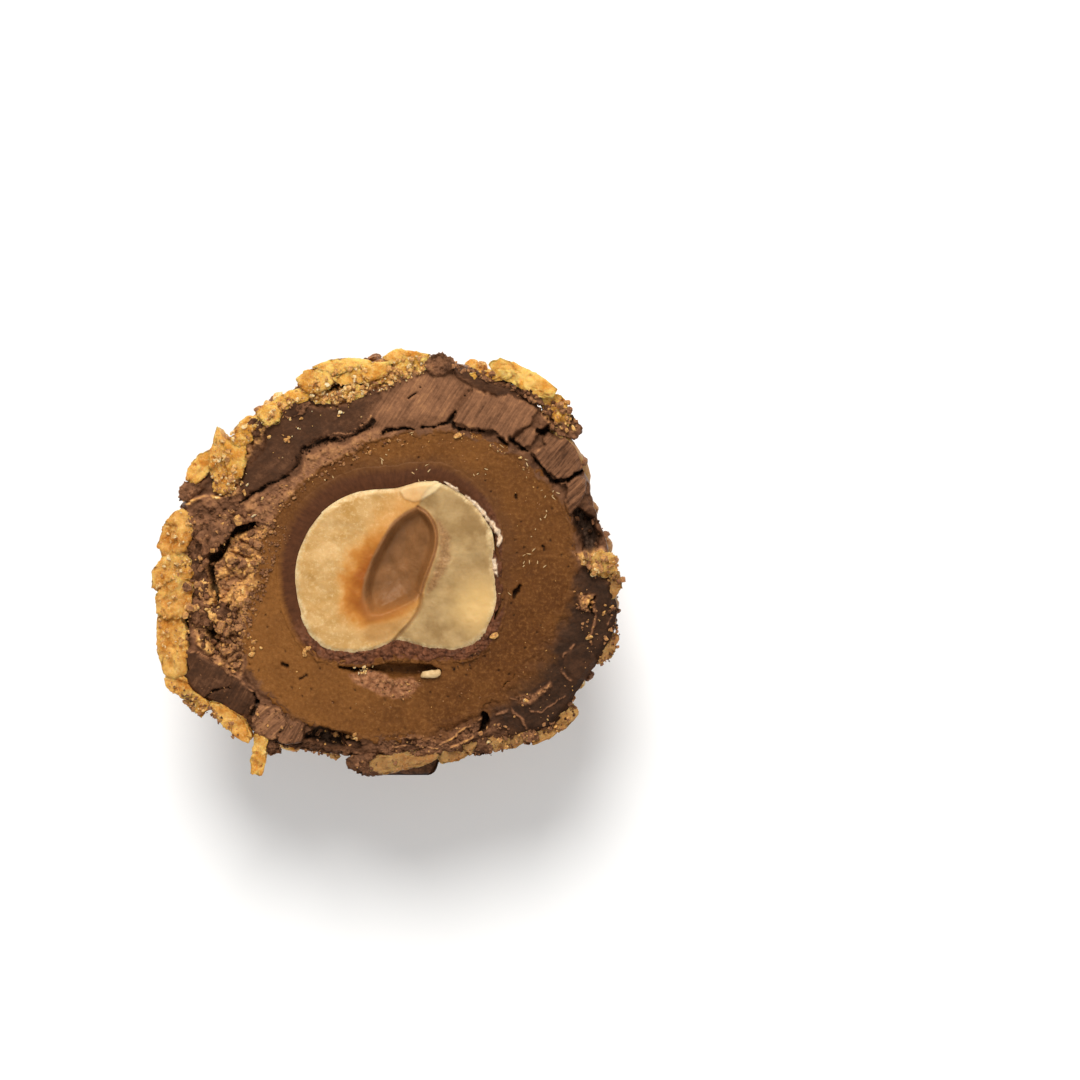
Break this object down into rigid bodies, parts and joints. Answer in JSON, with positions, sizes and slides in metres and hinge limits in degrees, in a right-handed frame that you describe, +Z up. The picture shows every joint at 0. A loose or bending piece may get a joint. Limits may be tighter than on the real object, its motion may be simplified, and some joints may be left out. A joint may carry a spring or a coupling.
{
  "type": "halved hazelnut praline",
  "caption": "Half of a wafer-coated chocolate praline lying cut face up, with a caramel filling and a whole roasted hazelnut cut through.",
  "frame": {"origin": "middle of the half's outline at the flat spot that it rests on", "axes": "+Z up out of the cut face, +X to the right along the longest width of the cut, +Y towards the side of the cut that was up when the whole praline stood on its chocolate foot"},
  "size_m": [0.0314, 0.0289, 0.0149],
  "materials": {
    "shell": "rough",
    "filling": "satin",
    "skin": "rough",
    "nut": "satin"
  },
  "bodies": {
    "root": {"wafer_and_chocolate_shell": "shell", "caramel_filling": "filling", "nut_skin": "skin", "hazelnut": "nut"}
  },
  "joints": []
}
